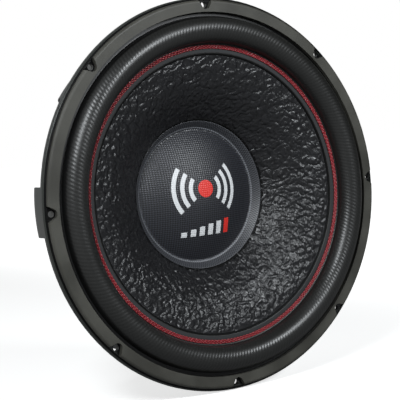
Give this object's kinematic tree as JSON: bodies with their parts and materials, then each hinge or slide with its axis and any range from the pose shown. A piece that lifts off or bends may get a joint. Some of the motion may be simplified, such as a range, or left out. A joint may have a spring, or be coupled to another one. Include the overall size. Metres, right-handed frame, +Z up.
{
  "type": "car subwoofer speaker",
  "caption": "Round car subwoofer speaker with a stitched rubber surround, flared cone, domed dust cap, windowed steel basket, stacked ring magnets and push terminals.",
  "frame": {"origin": "centre of the mounting holes' circle, on the rear face of the flange's sheet", "axes": "+Y along the speaker's axis towards the magnets, so the cone faces -Y; +Z up, +X to the right seen from the front"},
  "size_m": [0.3899, 0.194, 0.39],
  "materials": {
    "powder_coat": "satin powder coat on pressed steel",
    "gasket_foam": "matt dense foam",
    "surround_rubber": "satin, with a fine woven grain",
    "cone_pulp": "glossy coated pulp with a crumpled relief",
    "thread": "twisted thread",
    "cap_weave": "woven, lacquered",
    "black_aluminium": "black anodised",
    "kraft_paper": "matt",
    "copper": "enamelled wire",
    "spider_cloth": "resin-dipped cloth",
    "fibreboard": "matt",
    "braid": "braided copper tinsel",
    "plated_steel": "black plated, turned",
    "ferrite": "matt sintered ferrite",
    "bright_steel": "zinc plated",
    "terminal_board": "phenolic board",
    "black_plastic": "moulded",
    "red_plastic": "moulded",
    "contact_metal": "tinned brass"
  },
  "bodies": {
    "frame": {"basket": "powder_coat", "front_gasket": "gasket_foam", "rear_gasket": "gasket_foam", "surround": "surround_rubber", "front_spider": "spider_cloth", "rear_spider": "spider_cloth", "spider_spacer": "fibreboard", "top_leads": "braid", "bottom_leads": "braid", "top_plate": "plated_steel", "front_magnet": "ferrite", "rear_magnet": "ferrite", "yoke": "plated_steel", "vent_screen": "bright_steel", "basket_screws": "bright_steel", "top_terminal_board": "terminal_board", "bottom_terminal_board": "terminal_board", "top_terminal_housing": "black_plastic", "bottom_terminal_housing": "black_plastic", "top_contacts": "contact_metal", "bottom_contacts": "contact_metal", "top_rivets": "bright_steel", "bottom_rivets": "bright_steel", "top_springs": "bright_steel", "bottom_springs": "bright_steel"},
    "moving_cone": {"cone": "cone_pulp", "stitching": "thread", "dust_cap": "cap_weave", "coil_former": "black_aluminium", "coil_collar": "kraft_paper", "inner_winding": "copper", "outer_winding": "copper"},
    "top_red_push": {"top_red_button": "red_plastic"},
    "top_black_push": {"top_black_button": "black_plastic"},
    "bottom_red_push": {"bottom_red_button": "red_plastic"},
    "bottom_black_push": {"bottom_black_button": "black_plastic"}
  },
  "joints": [
    {"name": "cone_travel", "type": "slide", "parent": "frame", "child": "moving_cone", "axis": [0, 1, 0], "range_m": [-0.014, 0.014], "stiffness_N_per_m": 9000, "deforming": ["surround", "front_spider", "rear_spider", "top_leads", "bottom_leads"]},
    {"name": "top_red_press", "type": "slide", "parent": "frame", "child": "top_red_push", "axis": [0, -0.8408, -0.5413], "range_m": [0, 0.004], "stiffness_N_per_m": 700, "springref_m": -0.0025, "deforming": ["top_springs"]},
    {"name": "top_black_press", "type": "slide", "parent": "frame", "child": "top_black_push", "axis": [0, -0.8408, -0.5413], "range_m": [0, 0.004], "stiffness_N_per_m": 700, "springref_m": -0.0025, "deforming": ["top_springs"]},
    {"name": "bottom_red_press", "type": "slide", "parent": "frame", "child": "bottom_red_push", "axis": [0, -0.8408, 0.5413], "range_m": [0, 0.004], "stiffness_N_per_m": 700, "springref_m": -0.0025, "deforming": ["bottom_springs"]},
    {"name": "bottom_black_press", "type": "slide", "parent": "frame", "child": "bottom_black_push", "axis": [0, -0.8408, 0.5413], "range_m": [0, 0.004], "stiffness_N_per_m": 700, "springref_m": -0.0025, "deforming": ["bottom_springs"]}
  ]
}
